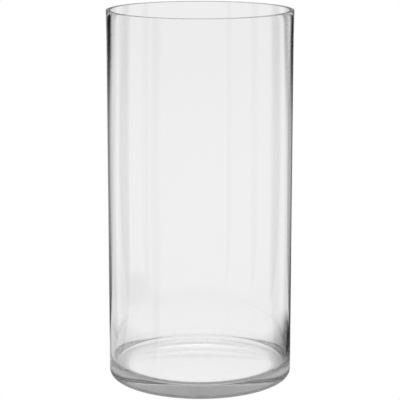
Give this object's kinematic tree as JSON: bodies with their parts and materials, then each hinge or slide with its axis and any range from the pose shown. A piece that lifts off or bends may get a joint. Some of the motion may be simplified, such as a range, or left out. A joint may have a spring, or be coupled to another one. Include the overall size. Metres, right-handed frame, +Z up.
{
  "type": "cylinder vase",
  "caption": "Tall straight cylinder vase of clear blown glass, open at the top, with a thick flat base, a rounded heel and a rim cut flat and polished.",
  "frame": {"origin": "centre of the plane that the vase stands on", "axes": "+Z up along the axis of the cylinder, towards the open rim; the vase is round, so X and Y are free"},
  "size_m": [0.152, 0.152, 0.305],
  "materials": {
    "clear_glass": "clear, polished"
  },
  "bodies": {
    "root": {"glass_vase": "clear_glass"}
  },
  "joints": []
}
